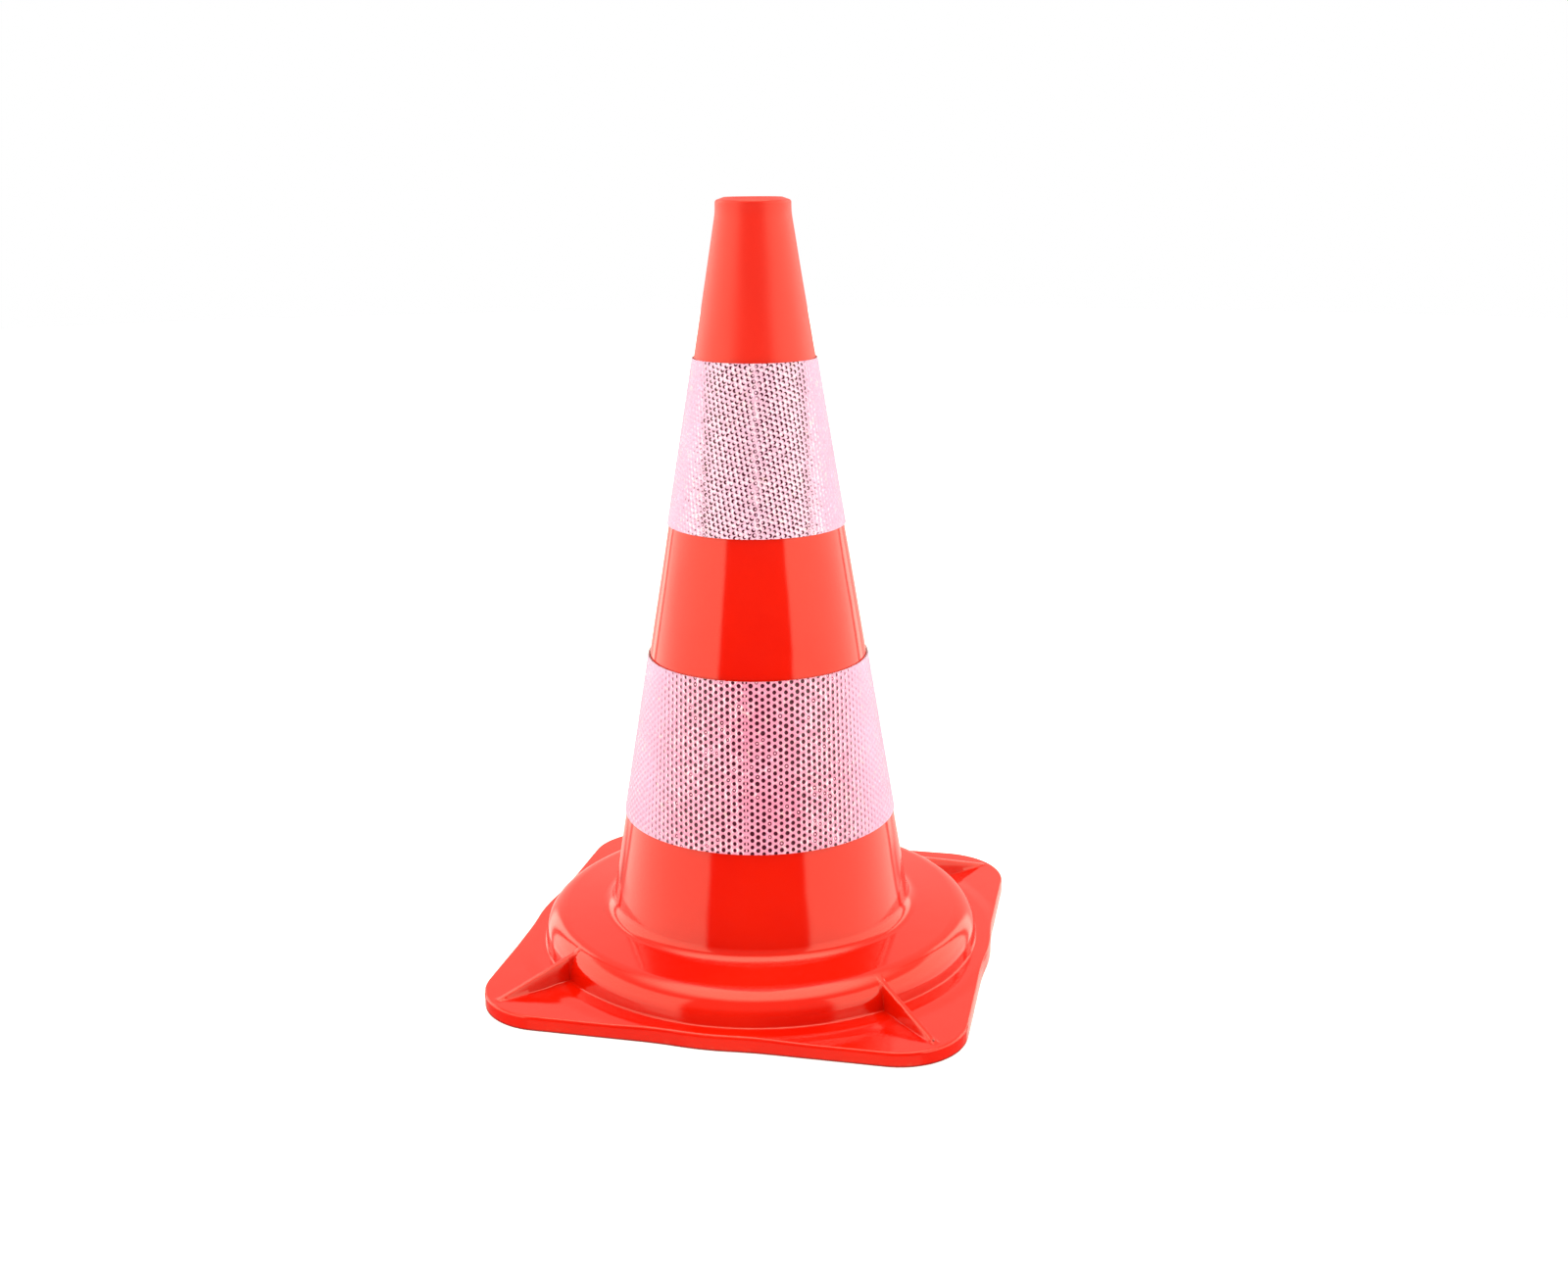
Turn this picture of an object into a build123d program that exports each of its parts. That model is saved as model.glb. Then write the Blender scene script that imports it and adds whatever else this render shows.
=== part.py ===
from build123d import *
import math
import os

# Traffic cone: one flexible moulding with two reflective sleeves on it.
# Millimetres, +Z up. The origin is on the ground, on the cone's axis.
# The square flange's sides are parallel to X and Y.

# Whole moulding
HEIGHT = 450.0
FLANGE_SIDE = 281.0
FLANGE_CORNER = 40.0

# Flange: a flat plate with a slightly thicker round disc that bulges past each side
PLATE_TOP = 8.6
DISC_TOP = 9.4
DISC_RADIUS = 142.4
RAMP_START = 140.5
RAMP_END = 151.0
DISC_BLEND = 250.0
RAMP_ROUND = 20.0
EDGE_ROUND = 1.4

# Round plinth under the cone
PLINTH_FOOT = 133.0
PLINTH_SIDE_TOP = 131.0
SHOULDER_Z = 27.4
CROWN_Z = 30.4
SHOULDER_ROUND = 14.0
PLINTH_ROUND = 1.2

# Tapered wall: outer radius is CONE_FOOT less CONE_TAPER per mm of height
CONE_FOOT = 96.5
CONE_TAPER = 0.17
FOOT_ROUND = 8.0
WALL = 2.85

# Neck and mouth
NECK_RADIUS = 21.4
NECK_BLEND = 40.0
MOUTH_RADIUS = 14.5
MOUTH_FLAT = 1.8
MOUTH_LIP_DROP = 1.8
LIP_ROUND = 3.0
MOUTH_ROUND = 1.0
MOUTH_BORE_LENGTH = 11.0
MOUTH_FLARE = 6.0

# Hollow under the plinth
HOLLOW_MOUTH = 127.5
HOLLOW_SIDE_TOP = 126.6
HOLLOW_SHOULDER_Z = 23.2
HOLLOW_CROWN_Z = 26.4
HOLLOW_ROUND = 9.0

# Corner ribs, one on each diagonal
RIB_COUNT = 4
RIB_FOOT_WIDTH = 5.0
RIB_DRAFT = 3.0
RIB_START = 105.0
RIB_TOE = 177.0
RIB_PEAK = (124.0, 26.4)
RIB_TOE_LIP = 0.5

# Gate mark, a small pit at the toe of the rib in the +X -Y corner
GATE_RADIUS = 0.9
GATE_DEPTH = 0.9
GATE_AT = 175.2

# Reflective sleeves, given by the heights of their lower and upper edges
SLEEVES = {"upper": (266.2, 361.5), "lower": (90.4, 187.7)}
SLEEVE_GAP = 0.3
BACKING_THICKNESS = 0.2
LENS_THICKNESS = 0.4


def cone_radius(z):
    """Outer radius of the tapered wall at a height."""
    return CONE_FOOT - CONE_TAPER * z


def flange_outline():
    """Rounded square with a round disc that bulges past the middle of each side."""
    side = FLANGE_SIDE / 2
    outline = RectangleRounded(FLANGE_SIDE, FLANGE_SIDE, FLANGE_CORNER) + Circle(DISC_RADIUS)
    reach = math.sqrt(DISC_RADIUS**2 - side**2)
    corners = [v for v in outline.vertices() if abs(min(abs(v.X), abs(v.Y)) - reach) < 1.0]
    return fillet(corners, DISC_BLEND)


def fillet_points(face, rounds):
    """Round the profile's corners at the given (radius, height) points."""
    for (r, z), size in rounds:
        corner = face.vertices().sort_by_distance((r, 0, z))[0]
        face = fillet(corner, size)
    return face


def profile_face(points):
    """Face in the XZ plane from (radius, height) points."""
    return make_face(Polyline([(r, 0, z) for r, z in points], close=True))


def outer_solid():
    """Turned outside of the moulding, wide enough to be trimmed by the flange outline."""
    reach = FLANGE_SIDE
    foot = (cone_radius(CROWN_Z), CROWN_Z)
    neck_z = (CONE_FOOT - NECK_RADIUS) / CONE_TAPER
    plinth_foot = (PLINTH_FOOT, DISC_TOP)
    shoulder = (PLINTH_SIDE_TOP, SHOULDER_Z)
    lip = (NECK_RADIUS, HEIGHT - MOUTH_LIP_DROP)
    points = [
        (0, 0),
        (reach, 0),
        (reach, PLATE_TOP),
        (RAMP_END, PLATE_TOP),
        (RAMP_START, DISC_TOP),
        plinth_foot,
        shoulder,
        foot,
        (NECK_RADIUS, neck_z),
        lip,
        (MOUTH_RADIUS + MOUTH_FLAT, HEIGHT),
        (0, HEIGHT),
    ]
    rounds = [
        ((RAMP_END, PLATE_TOP), RAMP_ROUND),
        ((RAMP_START, DISC_TOP), RAMP_ROUND),
        (plinth_foot, PLINTH_ROUND),
        (shoulder, SHOULDER_ROUND),
        (foot, FOOT_ROUND),
        ((NECK_RADIUS, neck_z), NECK_BLEND),
        (lip, LIP_ROUND),
    ]
    turned = revolve(fillet_points(profile_face(points), rounds), Axis.Z)
    return turned & extrude(flange_outline(), HEIGHT)


def rib_solid():
    """One corner rib along +X: a drafted block cut to a sloping top."""
    length = RIB_TOE - RIB_START
    middle = (RIB_START + RIB_TOE) / 2
    footprint = Pos(middle, 0, PLATE_TOP / 2) * Rectangle(length, RIB_FOOT_WIDTH)
    block = extrude(footprint, RIB_PEAK[1], taper=RIB_DRAFT)
    side = profile_face([
        (RIB_START, 0),
        (RIB_TOE, 0),
        (RIB_TOE, PLATE_TOP + RIB_TOE_LIP),
        RIB_PEAK,
        (RIB_START, RIB_PEAK[1]),
    ])
    return block & extrude(side, RIB_FOOT_WIDTH, both=True)


def hollow_solid():
    """Everything empty inside: plinth hollow, tapered hollow and mouth bore."""
    bore_z = HEIGHT - MOUTH_BORE_LENGTH
    flare_z = bore_z - MOUTH_FLARE
    crown_inner = (cone_radius(HOLLOW_CROWN_Z) - WALL, HOLLOW_CROWN_Z)
    shoulder = (HOLLOW_SIDE_TOP, HOLLOW_SHOULDER_Z)
    points = [
        (0, -1),
        (HOLLOW_MOUTH, -1),
        shoulder,
        crown_inner,
        (cone_radius(flare_z) - WALL, flare_z),
        (MOUTH_RADIUS, bore_z),
        (MOUTH_RADIUS, HEIGHT + 1),
        (0, HEIGHT + 1),
    ]
    rounds = [(shoulder, HOLLOW_ROUND), (crown_inner, MOUTH_ROUND)]
    return revolve(fillet_points(profile_face(points), rounds), Axis.Z)


def gate_mark():
    """Small round pit in the toe of one rib."""
    angle = math.radians(-45)
    place = Pos(GATE_AT * math.cos(angle), GATE_AT * math.sin(angle), PLATE_TOP + RIB_TOE_LIP)
    return place * Cylinder(GATE_RADIUS, 2 * GATE_DEPTH)


def cone_body():
    """The whole one-piece moulding: flange, plinth, ribs, tapered wall, neck and mouth."""
    body = outer_solid()
    for index in range(RIB_COUNT):
        body += Rot(0, 0, 45 + index * 360 / RIB_COUNT) * rib_solid()
    body = fillet(flange_rim(body), EDGE_ROUND)
    body -= hollow_solid()
    mouth = body.edges().group_by(Axis.Z)[-1].sort_by(SortBy.RADIUS)[0]
    body = fillet(mouth, MOUTH_ROUND)
    return body - gate_mark()


def flange_rim(body):
    """Edges where the flange's top meets its outer wall."""
    wall = flange_outline().face().outer_wire()
    rim = []
    for edge in body.edges():
        middle = edge @ 0.5
        if middle.Z > PLATE_TOP - 1 and wall.distance_to(Vertex(middle.X, middle.Y, 0)) < 0.01:
            rim.append(edge)
    return rim


def sleeve_layer(bottom_z, top_z, inner_gap, thickness):
    """Tapered film, square-edged, at a distance from the cone's wall measured square to it."""
    slant = math.atan(CONE_TAPER)
    out_r = math.cos(slant)
    out_z = math.sin(slant)
    corners = []
    for z, gap in [
        (bottom_z, inner_gap),
        (bottom_z, inner_gap + thickness),
        (top_z, inner_gap + thickness),
        (top_z, inner_gap),
    ]:
        corners.append((cone_radius(z) + gap * out_r, z + gap * out_z))
    return revolve(profile_face(corners), Axis.Z)


def main():
    os.makedirs("parts", exist_ok=True)
    export_step(cone_body(), "parts/cone_body.step")
    for name, (bottom_z, top_z) in SLEEVES.items():
        backing = sleeve_layer(bottom_z, top_z, SLEEVE_GAP, BACKING_THICKNESS)
        lens = sleeve_layer(bottom_z, top_z, SLEEVE_GAP + BACKING_THICKNESS, LENS_THICKNESS)
        export_step(backing, f"parts/{name}_sleeve_backing_film.step")
        export_step(lens, f"parts/{name}_sleeve_lens_film.step")


main()
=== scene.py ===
import math
from collections import namedtuple

import bpy
import numpy as np
from mathutils import Matrix, Vector


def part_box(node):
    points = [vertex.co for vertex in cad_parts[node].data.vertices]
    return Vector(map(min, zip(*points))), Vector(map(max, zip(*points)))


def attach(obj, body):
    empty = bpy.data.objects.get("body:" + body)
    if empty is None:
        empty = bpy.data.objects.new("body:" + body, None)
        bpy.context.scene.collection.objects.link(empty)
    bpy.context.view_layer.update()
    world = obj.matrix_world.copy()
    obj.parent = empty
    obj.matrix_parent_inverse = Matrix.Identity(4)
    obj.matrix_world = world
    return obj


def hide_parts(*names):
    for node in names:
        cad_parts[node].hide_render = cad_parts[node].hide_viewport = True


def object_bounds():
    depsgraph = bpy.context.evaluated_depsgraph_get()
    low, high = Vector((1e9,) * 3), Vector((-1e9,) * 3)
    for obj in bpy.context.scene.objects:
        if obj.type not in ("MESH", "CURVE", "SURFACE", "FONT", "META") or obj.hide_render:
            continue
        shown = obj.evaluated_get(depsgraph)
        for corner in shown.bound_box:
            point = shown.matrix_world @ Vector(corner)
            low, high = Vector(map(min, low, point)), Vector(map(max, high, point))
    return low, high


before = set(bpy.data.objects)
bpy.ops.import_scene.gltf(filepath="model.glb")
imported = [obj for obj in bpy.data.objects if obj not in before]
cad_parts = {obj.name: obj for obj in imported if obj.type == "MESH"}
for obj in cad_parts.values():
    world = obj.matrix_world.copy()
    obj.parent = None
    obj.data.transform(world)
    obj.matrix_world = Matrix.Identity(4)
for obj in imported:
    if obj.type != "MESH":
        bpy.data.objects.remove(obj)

# A traffic cone on a pale floor in a soft studio: one red-orange moulding, two reflective sleeves.
CAD_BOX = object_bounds()
MM = 0.001

# ---------------------------------------------------------------- sizes, in millimetres
# The moulding, as in the CAD part. Pairs of one point are (radius, height).
HEIGHT = CAD_BOX[1].z / MM
FLANGE_SIDE = 281.0
FLANGE_CORNER = 40.0
PLATE_TOP = 8.6
EDGE_ROUND = 1.4
# The flange's thicker round disc bulges past each side and ramps down to the plate in RAMP
DISC_RADIUS = 142.4
DISC_BLEND = 250.0
DISC_TOP = 9.4
RAMP = (140.5, 151.0)
PLINTH_FOOT = 133.0
SHOULDER = (131.0, 27.4)
CONE_FOOT = 96.5
CONE_TAPER = 0.17
CROWN_Z = 30.4
NECK_RADIUS = 21.4
MOUTH_RADIUS = 14.5
MOUTH_FLAT = 1.8
LIP_DROP = 1.8
WALL = 2.85
BORE_LENGTH = 11.0
FLARE_LENGTH = 6.0
HOLLOW_MOUTH = 127.5
HOLLOW_SHOULDER = (126.6, 23.2)
HOLLOW_CROWN_Z = 26.4
# Rounds of the corners, from the bore's edge down to the plinth's foot, and up the inside
OUTSIDE_ROUNDS = (0.7, 0.9, 1.8, 40.0, 8.0, 14.0, 1.2)
HOLLOW_ROUNDS = (0.8, 9.0, 1.0, 2.0, 1.0)
# Small round of the flange's lower edge, and how far up it counts as the foot
FOOT_EDGE = 0.35
FOOT_REACH = FOOT_EDGE * 1.01

# Corner ribs: the top runs in a straight line from the plinth's shoulder to the toe
RIB_PEAK = (124.0, 26.4)
RIB_TOE = (178.6, 8.6)
RIB_START = RIB_PEAK[0] - 8.0
# Distances from a rib's middle at which the mesh has lines. The rib's section is given at the first
# nine: how far its rounded top drops, the middle of its side, and the height of its hollow foot.
RIB_OFFSETS = [0.0, 0.75, 1.25, 1.5, 1.72, 2.03, 2.34, 2.6, 3.0, 3.6, 4.6, 6.0, 8.0]
RIB_TOP_DROPS = (0.0, 0.0, 0.02, 0.16, 0.6)
RIB_SIDE_SHARE = 0.5
RIB_FOOT_RISES = (0.45, 0.16, 0.04)
RIB_ROUND_RISE = 1.6
RIB_FOOT_RANGE = (PLINTH_FOOT + 1.0, PLINTH_FOOT + 4.0)

# Lines of the moulding's mesh from the rib's own to the middle between two ribs. They are even
# inside the first radius and gathered along the ribs beyond the second.
LINES_BETWEEN = 34
GATHER_RANGE = (100.0, 118.0)
WIDEST_SINE = 0.9
# Rows of the mesh: on the turned outside and inside they are at most this far apart
LONGEST_OUTSIDE = 7.0
LONGEST_INSIDE = 14.0
BORE_JOIN_Z = HEIGHT - 2.0
# On the flange's top, with lines spaced as up to this far out
FLANGE_START = PLINTH_FOOT + 3.0
FLANGE_ROWS = 56
LINES_REACH = 40.0
# On the flange's outer wall and its two rounds, as shares of the wall's height
EDGE_ROWS = 6
FOOT_ROWS = 4
WALL_SHARES = (0.88, 0.5, 0.12)
# On the underside, as shares of its width
UNDERSIDE_START = HOLLOW_MOUTH + 3.0
UNDERSIDE_END = HOLLOW_MOUTH + 2.0
UNDERSIDE_SHARES = (0.97, 0.6, 0.2)

# Slight waves of the soft wall: waves round the cone, turning in radians per metre of height,
# phase and size. All of them lie a little inwards, and they fade out between each pair of heights.
WAVES = [
    (2, 9.0, 0.3, 0.09),
    (3, -14.0, 1.9, 0.08),
    (5, 41.0, 4.1, 0.06),
    (7, -63.0, 2.7, 0.04),
    (9, 95.0, 1.1, 0.025),
]
WAVE_INSET = 0.15
WAVE_START = (30.0, 70.0)
WAVE_END = (400.0, 440.0)

# Gate mark: a small pit in the toe of the rib in the +X -Y corner
GATE_AT = 175.2
GATE_RADIUS = 1.1
GATE_FLOOR = GATE_RADIUS * 0.4
GATE_DEPTH = 0.9
# Strength of the painted contact shadow in the line where the flange's outer wall meets the ground,
# from 0 to 1
FOOT_SHADOW_STRENGTH = 0.9

# Lens films: distance from the wall to their inner face, and the pits of their prism pattern
SLANT = math.atan(CONE_TAPER)
SLEEVE_GAP = 0.5
LENS_THICKNESS = 0.4
DOT_DEPTH = 0.24
EDGE_COLUMNS = 240
# On the unrolled lower film: the joint of two tiles, a strip with weaker painted highlights
JOINT_X = -7.85
JOINT_HALF_WIDTH = 1.0
QUIET_STRIP = (-9.0, 24.0)
RING_CHANCE = 0.08
# On the unrolled upper film: the length over which the rings' open side changes over and back
RING_SWAY = 62.0

# Camera, from the same solution that gave the sizes. The front of both films faces it.
CAMERA_AZIMUTH = math.radians(13.23)
CAMERA_DISTANCE = 975.6
CAMERA_HEIGHT = 464.4
CAMERA_PITCH = math.radians(15.39)
CAMERA_YAW = math.radians(0.91)
CAMERA_ROLL = math.radians(-0.42)
CAMERA_FOCAL = 38.99
CAMERA_SENSOR = 36.0
CAMERA_CLIP = 10.0
FRONT_ANGLE = -math.pi / 2 + CAMERA_AZIMUTH


# ---------------------------------------------------------------- camera, light and floor
def make_camera():
    """Camera at the solved place, turned by its solved pitch, yaw and roll."""
    turn = Matrix.Rotation(CAMERA_AZIMUTH, 3, "Z")
    forward = Vector((
        math.sin(CAMERA_YAW) * math.cos(CAMERA_PITCH),
        math.cos(CAMERA_YAW) * math.cos(CAMERA_PITCH),
        -math.sin(CAMERA_PITCH),
    ))
    right = forward.cross(Vector((0, 0, 1))).normalized()
    up = right.cross(forward)
    rolled_right = right * math.cos(CAMERA_ROLL) + up * math.sin(CAMERA_ROLL)
    rolled_up = up * math.cos(CAMERA_ROLL) - right * math.sin(CAMERA_ROLL)
    axes = Matrix((turn @ rolled_right, turn @ rolled_up, turn @ -forward)).transposed()
    place = turn @ Vector((0, -CAMERA_DISTANCE * MM, CAMERA_HEIGHT * MM))
    data = bpy.data.cameras.new("camera")
    data.sensor_width = CAMERA_SENSOR
    data.lens = CAMERA_FOCAL
    data.clip_start = CAMERA_CLIP * MM
    camera = bpy.data.objects.new("camera", data)
    camera.matrix_world = Matrix.Translation(place) @ axes.to_4x4()
    bpy.context.scene.collection.objects.link(camera)
    bpy.context.scene.camera = camera


# Places of the colour sockets on Blender's Mix node
MIX_COLOUR_A = 6
MIX_COLOUR_B = 7
MIX_COLOUR_OUT = 2


class Nodes:
    """Short calls for building a shader tree."""

    def __init__(self, tree):
        self.tree = tree
        tree.nodes.clear()

    def add(self, kind, inputs=None, **settings):
        node = self.tree.nodes.new(kind)
        for key, value in settings.items():
            setattr(node, key, value)
        for key, value in (inputs or {}).items():
            if isinstance(value, bpy.types.NodeSocket):
                self.tree.links.new(value, node.inputs[key])
            else:
                node.inputs[key].default_value = value
        return node

    def math(self, operation, a, b=0.0):
        return self.add("ShaderNodeMath", {0: a, 1: b}, operation=operation).outputs[0]

    def times(self, a, b):
        return self.math("MULTIPLY", a, b)

    def step(self, value, low, high, out_low=0.0, out_high=1.0):
        """Smooth step of a value from one level to another."""
        inputs = {"Value": value, "From Min": low, "From Max": high}
        inputs.update({"To Min": out_low, "To Max": out_high})
        return self.add("ShaderNodeMapRange", inputs, interpolation_type="SMOOTHSTEP").outputs[0]

    def noise(self, vector, scale, detail=3.0, rough=0.5):
        inputs = {"Vector": vector, "Scale": scale, "Detail": detail, "Roughness": rough}
        return self.add("ShaderNodeTexNoise", inputs).outputs["Fac"]

    def mix(self, factor, a, b):
        """Mix of two colours."""
        inputs = {"Factor": factor, MIX_COLOUR_A: a, MIX_COLOUR_B: b}
        return self.add("ShaderNodeMix", inputs, data_type="RGBA").outputs[MIX_COLOUR_OUT]

    def blend(self, factor, a, b):
        """Mix of two values."""
        inputs = {"Value": factor, "From Min": 0.0, "From Max": 1.0, "To Min": a, "To Max": b}
        return self.add("ShaderNodeMapRange", inputs).outputs[0]

    def bump(self, shader, height, strength, distance):
        """Relief of a surface, on its shader."""
        inputs = {"Height": height, "Strength": strength, "Distance": distance}
        node = self.add("ShaderNodeBump", inputs)
        self.link(node.outputs[0], shader.inputs["Normal"])

    def link(self, a, b):
        self.tree.links.new(a, b)


# Studio light by direction. Angles are in degrees: azimuths are counted both ways round the object
# from the camera's side, and heights from the horizon. A pair is where a change starts and ends.
WHITE = (1, 1, 1, 1)
LIGHT_TINT = (1.0, 0.945, 0.82, 1)
# Dark camera side, brighter towards the top, with a glow of the floor from below
FRONT_RISE = (-5.0, 22.0)
FRONT_LOW = 0.02
FRONT_HIGH = 0.48
FLOOR_RISE = (-22.0, -30.0)
FLOOR_SHINE = 0.6
# Tall panels on both sides, brighter towards the back and the top, shaded by the table below
PANEL_EDGE = 38.8
PANEL_SOFT_EDGE = (PANEL_EDGE - 2.5, PANEL_EDGE + 2.0)
PANEL_OFFSET = 2.7
PANEL_LIGHT = 2.1
PANEL_SHARES = (0.87, 1.08)
PANEL_GAIN_RISE = (-6.0, 7.0)
PANEL_GAIN = 1.3
PANEL_TOP = (37.0, 43.0)
ABOVE_PANEL = 0.3
TABLE_EDGE = (-18.0, -15.5)
TABLE_SHADE = 0.12
# Dark gap in each panel, with soft sides
PANEL_GAP = (133.0, 138.0)
GAP_SOFTNESS = 1.0
GAP_LIGHT = 0.5
# Wall behind the object, and the ceiling
BACK_START = 148.0
BACK_SOFTNESS = 3.0
BACK_LIGHT = 0.9
CEILING = (49.0, 68.0)
CEILING_LIGHT = 3.7


def make_world():
    """Soft studio: tall panels on both sides, a pale wall behind, a dark camera side.

    The camera itself sees plain white.
    """
    world = bpy.data.worlds.new("studio")
    bpy.context.scene.world = world
    world.use_nodes = True
    n = Nodes(world.node_tree)
    coordinates = n.add("ShaderNodeTexCoord").outputs["Generated"]
    turned = n.add("ShaderNodeVectorRotate", {"Vector": coordinates, "Angle": -CAMERA_AZIMUTH})
    axes = n.add("ShaderNodeSeparateXYZ", {"Vector": turned.outputs[0]}).outputs
    azimuth = n.math("ARCTAN2", axes["X"], n.math("MULTIPLY", axes["Y"], -1.0))
    azimuth = n.math("ADD", n.math("DEGREES", azimuth), PANEL_OFFSET)
    side = n.math("ABSOLUTE", azimuth)
    height = n.math("DEGREES", n.math("ARCSINE", axes["Z"]))
    front = n.math("MAXIMUM", n.step(height, *FRONT_RISE, FRONT_LOW, FRONT_HIGH),
                   n.step(height, *FLOOR_RISE, 0.0, FLOOR_SHINE))
    level = n.blend(n.step(side, *PANEL_SOFT_EDGE), front, panel_light(n, side, height))
    back = n.step(side, BACK_START - BACK_SOFTNESS, BACK_START + BACK_SOFTNESS)
    level = n.blend(back, level, BACK_LIGHT)
    gap_start, gap_end = PANEL_GAP
    gap = n.times(n.step(side, gap_start - GAP_SOFTNESS, gap_start + GAP_SOFTNESS),
                  n.step(side, gap_end + GAP_SOFTNESS, gap_end - GAP_SOFTNESS))
    level = n.blend(gap, level, GAP_LIGHT)
    level = n.blend(n.step(height, *CEILING), level, CEILING_LIGHT)
    seen = n.add("ShaderNodeLightPath").outputs["Is Camera Ray"]
    colour = n.mix(seen, LIGHT_TINT, WHITE)
    inputs = {"Color": colour, "Strength": n.blend(seen, level, 1.0)}
    light = n.add("ShaderNodeBackground", inputs)
    n.add("ShaderNodeOutputWorld", {"Surface": light.outputs[0]})


def panel_light(n, side, height):
    """Light of the side panels by direction."""
    darkest, brightest = PANEL_SHARES
    panel = n.step(side, PANEL_EDGE, BACK_START, PANEL_LIGHT * darkest, PANEL_LIGHT * brightest)
    panel = n.times(panel, n.step(height, *PANEL_GAIN_RISE, 1.0, PANEL_GAIN))
    panel = n.times(panel, n.step(height, *TABLE_EDGE, TABLE_SHADE, 1.0))
    return n.times(panel, n.step(height, *PANEL_TOP, 1.0, ABOVE_PANEL))


# Floor, in metres: it lies a hair under the part
FLOOR_RADIUS = 5.0
FLOOR_MIDDLE = 0.02
FLOOR_GAP = 0.0002
FLOOR_RINGS = 24
FLOOR_SEGMENTS = 96
FLOOR_TONES = ((0.9, 0.9, 0.9, 1), (0.94, 0.94, 0.94, 1))
FLOOR_GLOW = 0.3


def make_floor():
    """Round pale floor. Reflections in the gloss see the studio instead of the floor."""
    rings = np.linspace(FLOOR_MIDDLE, 1.0, FLOOR_RINGS) ** 2 * FLOOR_RADIUS
    angles = np.arange(FLOOR_SEGMENTS) * 2 * math.pi / FLOOR_SEGMENTS
    verts = [(r * math.cos(a), r * math.sin(a), -FLOOR_GAP) for r in rings for a in angles]
    faces = [list(range(FLOOR_SEGMENTS))] + grid_faces(FLOOR_RINGS, FLOOR_SEGMENTS)
    floor = mesh_object("studio_floor", verts, faces, floor_material())
    floor.visible_glossy = False


def floor_material():
    """Pale matt floor, faintly mottled, with a slight glow of its own."""
    material, n, shader = new_material("pale_floor")
    place = n.add("ShaderNodeTexCoord").outputs["Object"]
    n.link(n.mix(n.noise(place, scale=6.0), *FLOOR_TONES), shader.inputs["Base Color"])
    shader.inputs["Roughness"].default_value = 0.7
    shader.inputs["Emission Color"].default_value = WHITE
    shader.inputs["Emission Strength"].default_value = FLOOR_GLOW
    return material


# ---------------------------------------------------------------- mesh helpers
CREASE = math.radians(38)


def mesh_object(name, verts, faces, material):
    """Object in the scene, smooth except at its creases."""
    mesh = bpy.data.meshes.new(name)
    mesh.from_pydata([tuple(map(float, v)) for v in verts], [], faces)
    mesh.validate()
    mesh.materials.append(material)
    mesh.shade_smooth()
    mesh.set_sharp_from_angle(angle=CREASE)
    piece = bpy.data.objects.new(name, mesh)
    bpy.context.scene.collection.objects.link(piece)
    return piece


def add_attribute(piece, name, values):
    """One number per point of the mesh, for its material to read."""
    attribute = piece.data.attributes.new(name, "FLOAT", "POINT")
    attribute.data.foreach_set("value", values.astype(np.float32))


def grid_faces(rows, columns):
    """Quads of a grid of rows that close on themselves."""
    faces = []
    for i in range(rows - 1):
        for j in range(columns):
            k = (j + 1) % columns
            a = i * columns
            b = a + columns
            faces.append((a + j, a + k, b + k, b + j))
    return faces


def rounded(points, rounds, segments=7, support=0.35):
    """Polyline through (radius, height) points with its corners rounded by arcs.

    A support point is put just before and after each arc, so that smooth shading stays in the arc.
    """
    path = [points[0]]
    for before, corner, after, size in zip(points, points[1:], points[2:], rounds):
        p, q, r = (Vector(point) for point in (before, corner, after))
        to_p = (p - q).normalized()
        to_r = (r - q).normalized()
        half = to_p.angle(to_r) / 2
        reach = size / math.tan(half)
        centre = q + (to_p + to_r).normalized() * (size / math.sin(half))
        path.append(tuple(q + to_p * (reach + min(support, size / 3))))
        first = q + to_p * reach - centre
        last = q + to_r * reach - centre
        sweep = math.pi - 2 * half
        for i in range(segments + 1):
            t = i / segments
            spoke = first * math.sin((1 - t) * sweep) + last * math.sin(t * sweep)
            path.append(tuple(centre + spoke / math.sin(sweep)))
        path.append(tuple(q + to_r * (reach + min(support, size / 3))))
    path.append(points[-1])
    return path


def subdivided(path, longest):
    """The path with its long runs cut into equal steps."""
    out = [path[0]]
    for a, b in zip(path, path[1:]):
        steps = max(1, math.ceil(math.dist(a, b) / longest))
        for i in range(1, steps + 1):
            t = i / steps
            out.append((a[0] + (b[0] - a[0]) * t, a[1] + (b[1] - a[1]) * t))
    return out


def smooth_step(value, low, high):
    """0 up to low, 1 from high on, and a smooth rise between them."""
    t = np.clip((value - low) / (high - low), 0.0, 1.0)
    return t * t * (3 - 2 * t)


def new_material(name):
    """A material, the calls for its tree and its Principled shader."""
    material = bpy.data.materials.new(name)
    material.use_nodes = True
    n = Nodes(material.node_tree)
    shader = n.add("ShaderNodeBsdfPrincipled")
    n.add("ShaderNodeOutputMaterial", {"Surface": shader.outputs[0]})
    return material, n, shader


# ---------------------------------------------------------------- the moulding
def cone_radius(z):
    """Outer radius of the tapered wall at a height."""
    return CONE_FOOT - CONE_TAPER * z


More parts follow.
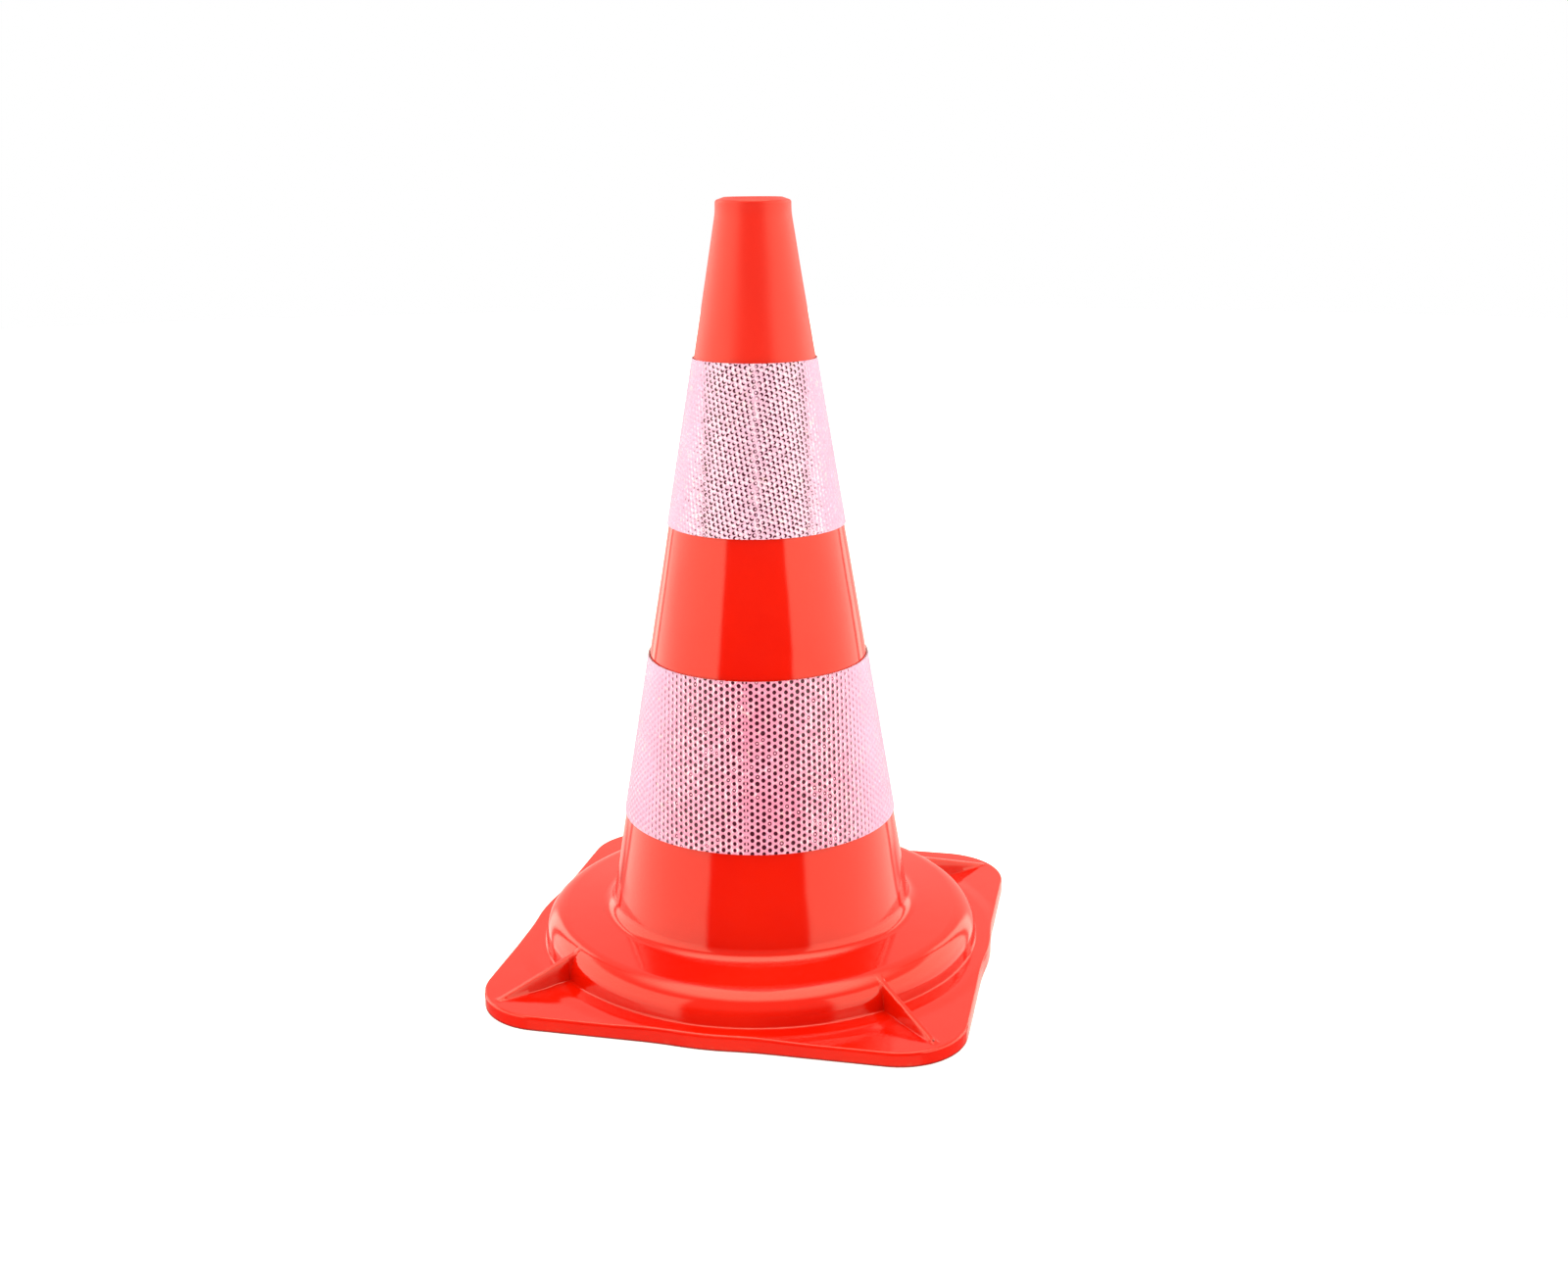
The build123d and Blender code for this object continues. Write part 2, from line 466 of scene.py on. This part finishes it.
def turned_profile():
    """Outside of the moulding from the mouth's edge down to the plinth's foot."""
    neck_z = (CONE_FOOT - NECK_RADIUS) / CONE_TAPER
    points = [
        (MOUTH_RADIUS, BORE_JOIN_Z),
        (MOUTH_RADIUS, HEIGHT),
        (MOUTH_RADIUS + MOUTH_FLAT, HEIGHT),
        (NECK_RADIUS, HEIGHT - LIP_DROP),
        (NECK_RADIUS, neck_z),
        (cone_radius(CROWN_Z), CROWN_Z),
        SHOULDER,
        (PLINTH_FOOT, DISC_TOP),
        (FLANGE_START, DISC_TOP),
    ]
    return subdivided(rounded(points, OUTSIDE_ROUNDS), LONGEST_OUTSIDE)


def hollow_profile():
    """Inside of the moulding from the plinth hollow's mouth up to the bore."""
    bore_z = HEIGHT - BORE_LENGTH
    flare_z = bore_z - FLARE_LENGTH
    points = [
        (UNDERSIDE_END, 0.0),
        (HOLLOW_MOUTH, 0.0),
        HOLLOW_SHOULDER,
        (cone_radius(HOLLOW_CROWN_Z) - WALL, HOLLOW_CROWN_Z),
        (cone_radius(flare_z) - WALL, flare_z),
        (MOUTH_RADIUS, bore_z),
        (MOUTH_RADIUS, BORE_JOIN_Z),
    ]
    return subdivided(rounded(points, HOLLOW_ROUNDS, segments=4), LONGEST_INSIDE)


def outline_radius(angle):
    """Distance from the axis to the flange's outer wall, by angle."""
    half = FLANGE_SIDE / 2
    core = half - FLANGE_CORNER
    c = np.abs(np.cos(angle))
    s = np.abs(np.sin(angle))
    flat = half / np.maximum(c, s)
    along = core * (c + s)
    corner = along + np.sqrt(np.maximum(along**2 - 2 * core**2 + FLANGE_CORNER**2, 0.0))
    beyond = flat * np.minimum(c, s) > core
    square = np.where(beyond, corner, flat)
    bulge = bulge_radius(np.abs(np.arctan(np.minimum(c, s) / np.maximum(c, s))))
    return np.maximum(square, bulge)


def bulge_radius(angle):
    """The disc's edge by angle from the middle of a side, eased into it by a hollow fillet."""
    half = FLANGE_SIDE / 2
    centre_x = half + DISC_BLEND
    centre_y = math.sqrt((DISC_RADIUS + DISC_BLEND) ** 2 - centre_x**2)
    along = centre_x * np.cos(angle) + centre_y * np.sin(angle)
    under = along**2 - (centre_x**2 + centre_y**2 - DISC_BLEND**2)
    hollow = along - np.sqrt(np.maximum(under, 0.0))
    disc_end = math.atan2(centre_y, centre_x)
    fillet_end = math.atan2(centre_y, half)
    on_side = np.where(angle < fillet_end, hollow, 0.0)
    return np.where(angle < disc_end, DISC_RADIUS, on_side)


def flange_height(radius):
    """Height of the flange's top: the thicker disc ramps down to the plate."""
    return DISC_TOP - (DISC_TOP - PLATE_TOP) * smooth_step(radius, *RAMP)


def rib_height(along, across, base):
    """Surface height with the rib's section added over the base height."""
    slope = (RIB_PEAK[1] - RIB_TOE[1]) / (RIB_TOE[0] - RIB_PEAK[0])
    top = RIB_PEAK[1] - slope * np.maximum(along - RIB_PEAK[0], 0.0)
    rise = np.maximum(top - base, 0.0)
    rounding = np.minimum(1.0, rise / RIB_ROUND_RISE)
    foot = rounding * smooth_step(along, *RIB_FOOT_RANGE)
    section = [rise - drop * rounding for drop in RIB_TOP_DROPS]
    section.append(rise * RIB_SIDE_SHARE)
    section += [foot * share for share in RIB_FOOT_RISES]
    section.append(np.zeros_like(rise))
    added = np.zeros_like(rise)
    for low, high, start, end in zip(section, section[1:], RIB_OFFSETS, RIB_OFFSETS[1:]):
        inside = (across >= start) & (across < end)
        t = (across - start) / (end - start)
        added = np.where(inside, low + (high - low) * t, added)
    on_rib = (along > RIB_START) & (along < RIB_TOE[0])
    return base + np.where(on_rib, added, 0.0)


def line_angles(radius):
    """Angles of the mesh's lines at a radius: close together along the ribs, even on the cone."""
    sides = [math.asin(min(offset / radius, WIDEST_SINE)) for offset in RIB_OFFSETS]
    start = sides[-1]
    for i in range(1, LINES_BETWEEN):
        sides.append(start + (math.pi / 4 - start) * i / LINES_BETWEEN)
    near = np.array([-a for a in reversed(sides[1:])] + sides)
    even = (np.arange(len(near)) - (len(sides) - 1)) * (math.pi / 2) / (len(near) + 1)
    share = smooth_step(np.array(radius), *GATHER_RANGE)
    quarter = np.concatenate([[-math.pi / 4], even * (1 - share) + near * share])
    return np.concatenate([quarter + math.pi / 4 + k * math.pi / 2 for k in range(4)])


def wall_waves(angle, z):
    """Slight unevenness of the soft moulded wall, in millimetres, kept clear of the sleeves."""
    wave = 0.0
    for turns, rate, phase, size in WAVES:
        wave = wave + size * np.sin(turns * angle + rate * z * MM + phase)
    return (wave - WAVE_INSET) * smooth_step(z, *WAVE_START) * (1 - smooth_step(z, *WAVE_END))


def outside_rows():
    """Rows of points from the mouth down the outside to the plinth's foot."""
    rows = []
    for r, z in turned_profile():
        angle = line_angles(r)
        height = np.full_like(angle, z)
        if r > RIB_START:
            height = with_ribs(angle, np.full_like(angle, r), height)
        rows.append((r + wall_waves(angle, height), angle, height))
    return rows


def flange_rows():
    """Rows over the flange's top, from the plinth's foot to the round of the outer edge."""
    rows = []
    for t in np.linspace(0, 1, FLANGE_ROWS)[1:]:
        angle = line_angles(FLANGE_START + t * LINES_REACH)
        reach = outline_radius(angle) - EDGE_ROUND
        radius = FLANGE_START + (reach - FLANGE_START) * t
        rows.append((radius, angle, with_ribs(angle, radius, flange_height(radius))))
    return rows


def edge_rows(angle):
    """Rows down the flange's outer wall, with the round above it and the small round below."""
    rows = []
    reach = outline_radius(angle)
    top = flange_height(reach - EDGE_ROUND) - EDGE_ROUND
    for turn in np.linspace(0, math.pi / 2, EDGE_ROWS)[1:]:
        out = reach - EDGE_ROUND + EDGE_ROUND * math.sin(turn)
        rows.append((out, angle, top + EDGE_ROUND * math.cos(turn)))
    for share in WALL_SHARES:
        rows.append((reach, angle, FOOT_EDGE + (top - FOOT_EDGE) * share))
    for turn in np.linspace(0, math.pi / 2, FOOT_ROWS):
        out = reach - FOOT_EDGE + FOOT_EDGE * math.cos(turn)
        height = np.full_like(reach, FOOT_EDGE - FOOT_EDGE * math.sin(turn))
        rows.append((out, angle, height))
    return rows


def inside_rows(angle):
    """Rows in over the flat underside and up the hollow to the mouth's bore."""
    rows = []
    reach = outline_radius(angle) - FOOT_EDGE
    for share in UNDERSIDE_SHARES:
        radius = UNDERSIDE_START + (reach - UNDERSIDE_START) * share
        rows.append((radius, angle, np.zeros_like(reach)))
    for r, z in hollow_profile():
        angle = line_angles(r)
        rows.append((np.full_like(angle, r), angle, np.full_like(angle, z)))
    return rows


def moulding_rows():
    """Rows of points from the mouth down the outside, round the flange and up the inside."""
    rows = outside_rows() + flange_rows()
    edge_angle = rows[-1][1]
    return rows + edge_rows(edge_angle) + inside_rows(edge_angle)


def with_ribs(angle, radius, base):
    """Surface height at polar points, with the nearest corner rib added over the base height."""
    offset = (angle % (math.pi / 2)) - math.pi / 4
    across = np.abs(radius * np.sin(offset))
    along = radius * np.cos(offset)
    return rib_height(along, across, base)


def gate_mark(x, y, height):
    """How deep in the gate mark each point lies, from 0 outside to 1 at its middle."""
    diagonal = GATE_AT / math.sqrt(2)
    apart = np.hypot(x - diagonal, y + diagonal)
    return (1 - smooth_step(apart, GATE_FLOOR, GATE_RADIUS)) * (height > PLATE_TOP - 1.0)


def painted_foot_shadow(radius, angle, height):
    """Painted contact shadow in a thin line where the flange's outer wall meets the ground."""
    on_wall = radius > outline_radius(angle) - FOOT_REACH
    return FOOT_SHADOW_STRENGTH * (on_wall & (height < FOOT_REACH))


def make_moulding():
    """The whole one-piece moulding as one closed surface."""
    rows = moulding_rows()
    columns = len(rows[0][1])
    verts, marks = [], []
    for radius, angle, height in rows:
        x = radius * np.cos(angle)
        y = radius * np.sin(angle)
        mark = gate_mark(x, y, height)
        marks.append(np.maximum(mark, painted_foot_shadow(radius, angle, height)))
        verts.append(np.stack([x, y, height - GATE_DEPTH * mark], axis=1) * MM)
    faces = grid_faces(len(rows), columns)
    last = (len(rows) - 1) * columns
    for j in range(columns):
        k = (j + 1) % columns
        faces.append((last + j, last + k, k, j))
    faces = [tuple(reversed(face)) for face in faces]
    piece = mesh_object("cone_moulding", np.concatenate(verts), faces, pvc_material())
    # Per point: the darkened gate pit and the painted contact shadow along the flange's foot
    add_attribute(piece, "gate_and_foot_shadow", np.concatenate(marks))
    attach(piece, "cone")
    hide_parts("cone_body")


# Linear colours of the moulding
PVC_TONES = ((0.6, 0.0042, 0.0002, 1), (0.64, 0.0068, 0.0004, 1))
PVC_SPECULAR = (1.0, 0.97, 0.78, 1)
DUST_COLOUR = (0.55, 0.09, 0.05, 1)
# Dark of the gate pit and of the painted contact shadow along the flange's foot
GATE_AND_SHADOW_COLOUR = (0.12, 0.003, 0.004, 1)
# Heights in metres: the dust lies below the first pair, the gloss fades over the second pair
DUST_HEIGHT = (0.004, 0.0)
DUST_STRENGTH = 0.5
GLOSS_HEIGHT = (0.28, 0.35)
GLOSS_SCATTER = 0.07
GLOSSY_WALL = 0.08
DULL_NECK = 0.36
GLOSS_NOISE = 0.05
PVC_IOR = 1.53
# Orange peel against the wider ripple, and the relief's strength and depth in metres
PEEL_SHARE = 0.03
PVC_RELIEF = (0.25, 0.0012)


def pvc_material():
    """Glossy red-orange soft PVC with faint mottling, a duller neck and dust at its foot, a
    darkened gate pit and a painted shadow line along the flange's foot.
    """
    material, n, shader = new_material("red_orange_pvc")
    place = n.add("ShaderNodeTexCoord").outputs["Object"]
    height = n.add("ShaderNodeSeparateXYZ", {"Vector": place}).outputs["Z"]
    mottle = n.noise(place, scale=14.0, detail=4.0)
    colour = n.mix(n.step(mottle, 0.3, 0.7), *PVC_TONES)
    specks = n.step(n.noise(place, scale=120.0, detail=6.0, rough=0.7), 0.5, 0.75)
    dust = n.times(specks, n.step(height, *DUST_HEIGHT, 0.0, DUST_STRENGTH))
    colour = n.mix(dust, colour, DUST_COLOUR)
    # Darkens the gate pit and paints the contact shadow along the flange's foot
    gate_and_foot_shadow = n.add("ShaderNodeAttribute", attribute_name="gate_and_foot_shadow").outputs["Fac"]
    n.link(n.mix(gate_and_foot_shadow, colour, GATE_AND_SHADOW_COLOUR), shader.inputs["Base Color"])
    scuffs = n.times(n.math("SUBTRACT", n.noise(place, scale=650.0), 0.5), GLOSS_SCATTER)
    level = n.math("ADD", height, scuffs)
    rough = n.step(level, *GLOSS_HEIGHT, GLOSSY_WALL, DULL_NECK)
    wear = n.noise(place, scale=60.0, detail=5.0, rough=0.65)
    rough = n.math("ADD", rough, n.times(wear, GLOSS_NOISE))
    n.link(rough, shader.inputs["Roughness"])
    peel = n.noise(place, scale=900.0, detail=2.0)
    ripple = n.noise(place, scale=26.0, detail=2.0)
    relief = n.math("ADD", n.times(peel, PEEL_SHARE), ripple)
    n.bump(shader, relief, *PVC_RELIEF)
    shader.inputs["IOR"].default_value = PVC_IOR
    shader.inputs["Specular Tint"].default_value = PVC_SPECULAR
    return material


# ---------------------------------------------------------------- reflective sleeves
def unrolled_cells(low, high, pitch, tilt, shift):
    """Centres of the dots of a flat triangular pattern laid on the unrolled sleeve.

    The sleeve unrolls to part of a ring: low and high are its inner and outer radius there.
    """
    reach = math.pi * math.sin(SLANT)
    column = pitch * math.sqrt(3) / 2
    count = int(high / column) + 2
    centres = []
    for i in range(-count, count + 1):
        for j in range(int(-high / pitch) - 2, int(high / pitch) + 2):
            x = i * column + shift
            y = (j + (i % 2) / 2) * pitch
            turned_x = x * math.cos(tilt) - y * math.sin(tilt)
            turned_y = x * math.sin(tilt) + y * math.cos(tilt)
            distance = math.hypot(turned_x, turned_y)
            angle = math.atan2(turned_x, turned_y)
            if low - pitch < distance < high + pitch and abs(angle) < reach + pitch / low:
                centres.append((turned_x, turned_y))
    return centres


class DotMesh:
    """Flat mesh of one six-sided cell per dot, with a shallow pit in each.

    Corner points are shared by neighbouring cells. Each point carries a tone: below zero is the
    dark of a pit, above zero white, which paints highlights on prism edges and the pale middles of
    some dots.
    """

    # Corners are told apart on a grid this fine, so that neighbours share them
    CORNERS_PER_MM = 50
    # A corner's tone: middle and spread, and the limits it is kept between. Above zero it paints a
    # highlight between the dots.
    CORNER_TONE = (0.12, 0.2)
    TONE_LIMITS = (-0.2, 0.7)
    PLACE_SPREAD = 0.05
    SIZE_SPREAD = 0.06
    MIDDLE_DEPTH = 0.9

    def __init__(self, pitch, dot, tilt, rng):
        self.across = pitch / math.sqrt(3)
        self.rim_radius, self.core_radius = (pitch * share for share in dot)
        self.tilt = tilt
        self.rng = rng
        self.corners = {}
        self.points, self.depth, self.tone, self.faces = [], [], [], []

    def add(self, x, y, sink, tone):
        """A new point's number."""
        self.points.append((x, y))
        self.depth.append(-sink)
        self.tone.append(tone)
        return len(self.points) - 1

    def corner(self, x, y):
        """A cell's corner: the point a neighbour has put there, or a new one."""
        column, row = round(x * self.CORNERS_PER_MM), round(y * self.CORNERS_PER_MM)
        for near_column in (column - 1, column, column + 1):
            for near_row in (row - 1, row, row + 1):
                if (near_column, near_row) in self.corners:
                    return self.corners[(near_column, near_row)]
        self.corners[(column, row)] = len(self.points)
        tone = float(np.clip(self.rng.normal(*self.CORNER_TONE), *self.TONE_LIMITS))
        return self.add(x, y, 0.0, tone)

    def ring(self, x, y, radius, count, sink, tone):
        """Points on a circle. The tone is a function of the angle in degrees."""
        ring = []
        for k in range(count):
            a = self.tilt + k * 2 * math.pi / count
            place = (x + radius * math.cos(a), y + radius * math.sin(a))
            ring.append(self.add(*place, sink, tone(k * 360 / count)))
        return ring

    def add_cell(self, x, y, look):
        """One cell, its dot slightly off the middle and off size."""
        hexagon = []
        for k in range(6):
            a = self.tilt + k * math.pi / 3
            out_x, out_y = self.across * math.cos(a), self.across * math.sin(a)
            hexagon.append(self.corner(x + out_x, y + out_y))
        x += self.rng.normal(0.0, self.PLACE_SPREAD)
        y += self.rng.normal(0.0, self.PLACE_SPREAD)
        size = 1.0 + self.rng.normal(0.0, self.SIZE_SPREAD)
        rim_tone, core_tone, centre_tone = look(self.rng, x, y)
        rim = self.ring(x, y, self.rim_radius * size, 12, 0.0, rim_tone)
        core = self.ring(x, y, self.core_radius * size, 6, DOT_DEPTH, core_tone)
        middle = self.add(x, y, DOT_DEPTH * self.MIDDLE_DEPTH, centre_tone)
        self.add_faces(hexagon, rim, core, middle)

    def add_faces(self, hexagon, rim, core, middle):
        """Triangles from the cell's corners over the dot's rim and core to its middle."""
        for k in range(6):
            after = (k + 1) % 6
            start, mid, end = rim[2 * k], rim[2 * k + 1], rim[(2 * k + 2) % 12]
            self.faces += [
                (hexagon[k], mid, start),
                (hexagon[k], hexagon[after], mid),
                (hexagon[after], end, mid),
                (start, mid, core[k]),
                (mid, core[after], core[k]),
                (mid, end, core[after]),
                (core[k], core[after], middle),
            ]


def dark_dot(rng, x, y):
    """Look of the lower film: a dark core with a painted white highlight (glint) on each side.

    At the tile joint the core splits in two, and a few dots have a pale middle. A look gives the
    rim's tone and the core's tone as functions of the angle in degrees, and the middle's tone.
    The numbers in both looks are fitted.
    """
    strength = float(np.clip(rng.normal(1.1, 0.12), 0.7, 1.3))
    # Strength of the painted highlights on the rim's two sides
    glint = float(np.clip(rng.normal(0.85, 0.2), 0.3, 1.3))
    if QUIET_STRIP[0] < x < QUIET_STRIP[1]:
        glint *= 0.5
    leaning = rng.normal(0.0, 14.0)

    def rim(angle):
        return glint * abs(math.cos(math.radians(angle + leaning))) ** 2 - 0.16

    def core(angle):
        return -strength

    if abs(x - JOINT_X) < JOINT_HALF_WIDTH:
        return split_rim, split_core, 0.7
    if rng.random() < RING_CHANCE:
        return rim, core, 0.8
    return rim, core, -strength


def split_rim(angle):
    """Tone of the rim at the tile joint: dark to the left and right."""
    return -0.5 * abs(math.cos(math.radians(angle)))


def split_core(angle):
    """Tone of the core at the tile joint: dark to the left and right of a pale line."""
    return 0.6 - 2.2 * abs(math.cos(math.radians(angle)))


def broken_ring(rng, x, y):
    """Look of the upper film: a dark ring round a pale middle, open on one side, with a painted
    highlight on the rim at the opening.
    """
    strength = float(np.clip(rng.normal(1.25, 0.2), 0.7, 1.6))
    sway = math.sin(2 * math.pi * x / RING_SWAY)
    opening = (180.0 if sway > 0 else 0.0) + rng.normal(-20.0, 25.0)
    broken = min(1.0, abs(sway) * 2.2)
    # Strength of the painted highlight on the rim at the ring's opening
    glint = float(np.clip(rng.normal(0.75, 0.3), 0.0, 1.4))

    def facing(angle):
        return 0.5 + 0.5 * math.cos(math.radians(angle - opening))

    def core(angle):
        return -strength * (0.62 + broken * (0.88 - 1.9 * facing(angle)))

    def rim(angle):
        return glint * facing(angle) - 0.45 * (1 - facing(angle)) - 0.1

    return rim, core, float(rng.normal(0.45, 0.35))


def unrolled_edges(node):
    """Apex height of the film's inner cone, and the unrolled radii of its two edges."""
    low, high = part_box(node)
    gap_out, gap_up = SLEEVE_GAP * math.cos(SLANT), SLEEVE_GAP * math.sin(SLANT)
    apex = (CONE_FOOT + gap_out) / CONE_TAPER + gap_up
    edge_rise = LENS_THICKNESS * math.sin(SLANT)
    near = (apex - (high.z / MM - edge_rise)) / math.cos(SLANT)
    far = (apex - low.z / MM) / math.cos(SLANT)
    return apex, near, far


def dotted_face(pattern, apex, near, far):
    """Points, tones and faces of the film's outer face, cut off at its edges and at the seam."""
    rng = np.random.default_rng(pattern.seed)
    mesh = DotMesh(pattern.pitch, pattern.dot, pattern.tilt, rng)
    for x, y in unrolled_cells(near, far, pattern.pitch, pattern.tilt, pattern.shift):
        mesh.add_cell(x, y, pattern.look)
    flat = np.array(mesh.points)
    distance = np.hypot(flat[:, 0], flat[:, 1])
    angle = np.arctan2(flat[:, 0], flat[:, 1]) / math.sin(SLANT)
    past_edge = (distance <= near) | (distance >= far)
    past_seam = np.abs(angle) >= math.pi
    kept = []
    for face in mesh.faces:
        points = list(face)
        if not (past_edge[points].all() or past_seam[points].all()):
            kept.append(face)
    used = sorted({point for face in kept for point in face})
    number = {point: index for index, point in enumerate(used)}
    faces = [tuple(number[point] for point in face) for face in kept]
    depth = np.where(past_edge | past_seam, 0.0, np.array(mesh.depth)) + LENS_THICKNESS
    distance = np.clip(distance, near, far)[used]
    angle = np.clip(angle, -math.pi, math.pi)[used]
    points = sleeve_points(distance, angle, depth[used], apex)
    return points, np.array(mesh.tone)[used], faces


def make_lens_film(name, body, node, pattern):
    """Lens film: the dotted outer face, closed by its edges and a plain inner face."""
    apex, near, far = unrolled_edges(node)
    points, tone, faces = dotted_face(pattern, apex, near, far)
    inner_points, inner_faces = closed_edges(apex, near, far, len(points))
    verts = np.concatenate([points, inner_points]) * MM
    piece = mesh_object(name, verts, faces + inner_faces, bpy.data.materials["prism_film"])
    # The edge walls and the inner face take the dark material of the painted edge shadow
    piece.data.materials.append(bpy.data.materials["cut_edge_painted_shadow"])
    for polygon in piece.data.polygons[len(faces):]:
        polygon.material_index = 1
    add_attribute(piece, "prism_tone", np.concatenate([tone, np.zeros(len(inner_points))]))
    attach(piece, body)
    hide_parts(node)


def sleeve_points(distance, angle, depth, apex):
    """Places on the cone of points given on the unrolled sleeve."""
    radius = distance * math.sin(SLANT) + depth * math.cos(SLANT)
    z = apex - distance * math.cos(SLANT) + depth * math.sin(SLANT)
    around = angle + FRONT_ANGLE
    return np.stack([radius * np.cos(around), radius * np.sin(around), z], axis=1)


def closed_edges(apex, near, far, first):
    """Points and faces of the edge walls and the inner face. Their numbers begin at first."""
    around = np.linspace(-math.pi, math.pi, EDGE_COLUMNS)
    points = []
    for end in (near, far):
        for depth in (LENS_THICKNESS, 0.0):
            points.append(sleeve_points(np.full(EDGE_COLUMNS, end), around, depth, apex))
    faces = []
    for k in range(EDGE_COLUMNS - 1):
        near_out, near_in, far_out, far_in = (first + m * EDGE_COLUMNS + k for m in range(4))
        faces.append((near_out, near_out + 1, near_in + 1, near_in))
        faces.append((far_out + 1, far_out, far_in, far_in + 1))
        faces.append((near_in, near_in + 1, far_in + 1, far_in))
    return np.concatenate(points), faces


# Linear colours of the prism film's flat ground between the dots: seen at a slant, and face on
# The face-on tones are painted light: the ground is painted brighter and redder when seen face on
SLANT_TONES = ((0.56, 0.29, 0.45, 1), (0.58, 0.32, 0.49, 1))
FACING_TONES = ((0.76, 0.24, 0.38, 1), (0.79, 0.29, 0.44, 1))
UPPER_FACING = (0.7, 0.4, 0.56, 1)
PLAY_TONES = ((0.92, 0.72, 0.55, 1), (0.66, 0.52, 0.86, 1))
PLAY_STRENGTH = 0.4
# White of the pale middles and of the painted highlights on the dots' rims
PALE_AND_HIGHLIGHT_COLOUR = (0.88, 0.7, 0.8, 1)
PIT_COLOUR = (0.05, 0.001, 0.012, 1)
# Layer Weight values between which the dots and their painted highlights fade (a painted sheen by
# the view's angle), and the height in metres between the two films
DOTS_FADE = (0.43, 0.22)
BETWEEN_FILMS = (0.2, 0.26)
PRISM_SCALE = 2600.0
PRISM_RELIEF = (0.12, 0.0002)
FILM_IOR = 1.5


def film_material():
    """Pale pink prism film: wine-dark pits and painted white highlights, both faded at a slant by a
    painted sheen, a ground painted brighter face on, colour play.
    """
    _, n, shader = new_material("prism_film")
    place = n.add("ShaderNodeTexCoord").outputs["Object"]
    # Painted sheen: the view's angle picks the ground's face-on or slant tone, and hides pits and
    # highlights at a slant
    slant = n.add("ShaderNodeLayerWeight", {"Blend": 0.5}).outputs["Facing"]
    open_view = n.step(slant, *DOTS_FADE)
    patch = n.step(n.noise(place, scale=30.0), 0.3, 0.7)
    height = n.add("ShaderNodeSeparateXYZ", {"Vector": place}).outputs["Z"]
    facing_land = n.mix(n.step(height, *BETWEEN_FILMS), n.mix(patch, *FACING_TONES), UPPER_FACING)
    land = n.mix(open_view, n.mix(patch, *SLANT_TONES), facing_land)
    play = n.step(n.noise(place, scale=420.0, detail=2.0), 0.55, 0.75, 0.0, PLAY_STRENGTH)
    hue = n.mix(n.step(n.noise(place, scale=95.0, detail=2.0), 0.4, 0.6), *PLAY_TONES)
    land = n.mix(play, land, hue)
    tone = n.add("ShaderNodeAttribute", attribute_name="prism_tone").outputs["Fac"]
    # Painted highlights and pale middles, then the dark pits
    glint = n.times(n.step(tone, 0.1, 0.75), open_view)
    dark = n.times(n.step(tone, -0.2, -0.75), open_view)
    colour = n.mix(dark, n.mix(glint, land, PALE_AND_HIGHLIGHT_COLOUR), PIT_COLOUR)
    n.link(colour, shader.inputs["Base Color"])
    rough = n.math("ADD", n.times(n.noise(place, scale=200.0), 0.12), 0.2)
    n.link(rough, shader.inputs["Roughness"])
    prisms = n.add("ShaderNodeTexVoronoi", {"Vector": place, "Scale": PRISM_SCALE}, feature="F1")
    n.bump(shader, prisms.outputs["Distance"], *PRISM_RELIEF)
    shader.inputs["IOR"].default_value = FILM_IOR


BACKING_RELIEF = (0.2, 0.0001)
BACKING_TONES = ((0.86, 0.8, 0.82, 1), (0.93, 0.88, 0.9, 1))
# Wine-dark tones of the film's cut edge and inner face: a painted shadow line along the sleeves'
# edges
EDGE_SHADOW_TONES = ((0.07, 0.004, 0.012, 1), (0.16, 0.02, 0.035, 1))


def backing_material():
    """Matt white backing film with a fine calendered grain."""
    material, n, shader = new_material("white_backing")
    place = n.add("ShaderNodeTexCoord").outputs["Object"]
    grain = n.noise(place, scale=700.0)
    n.link(n.mix(grain, *BACKING_TONES), shader.inputs["Base Color"])
    n.link(n.math("ADD", n.times(grain, 0.2), 0.45), shader.inputs["Roughness"])
    n.bump(shader, grain, *BACKING_RELIEF)
    return material


def edge_material():
    """Cut edge and inner face of the lens film, painted wine-dark as the shadow line along the
    sleeve's edges, with the streaks of the knife.
    """
    _, n, shader = new_material("cut_edge_painted_shadow")
    place = n.add("ShaderNodeTexCoord").outputs["Object"]
    streaks = n.noise(place, scale=900.0)
    n.link(n.mix(streaks, *EDGE_SHADOW_TONES), shader.inputs["Base Color"])
    n.link(n.math("ADD", n.times(streaks, 0.2), 0.5), shader.inputs["Roughness"])


def dress_backing_films(material):
    """The part's own backing films stay as they are and get a material."""
    for node in ("upper_sleeve_backing_film", "lower_sleeve_backing_film"):
        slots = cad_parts[node].data.materials
        slots.clear()
        slots.append(material)


# ---------------------------------------------------------------- build
# Patterns of the two films, laid out in millimetres on the unrolled sleeve. A dot is given by the
# radii of its rim and its core as shares of the pitch.
Pattern = namedtuple("Pattern", "pitch dot tilt shift seed look")
UPPER_PATTERN = Pattern(3.15, (0.43, 0.27), math.radians(-9), 0.0, 11, broken_ring)
LOWER_PATTERN = Pattern(3.83, (0.38, 0.24), 0.0, 2.1, 7, dark_dot)

bpy.context.scene.view_settings.view_transform = "Standard"
make_camera()
make_world()
make_floor()
make_moulding()
film_material()
edge_material()
dress_backing_films(backing_material())
make_lens_film("upper_prism_film", "upper_sleeve", "upper_sleeve_lens_film", UPPER_PATTERN)
make_lens_film("lower_prism_film", "lower_sleeve", "lower_sleeve_lens_film", LOWER_PATTERN)
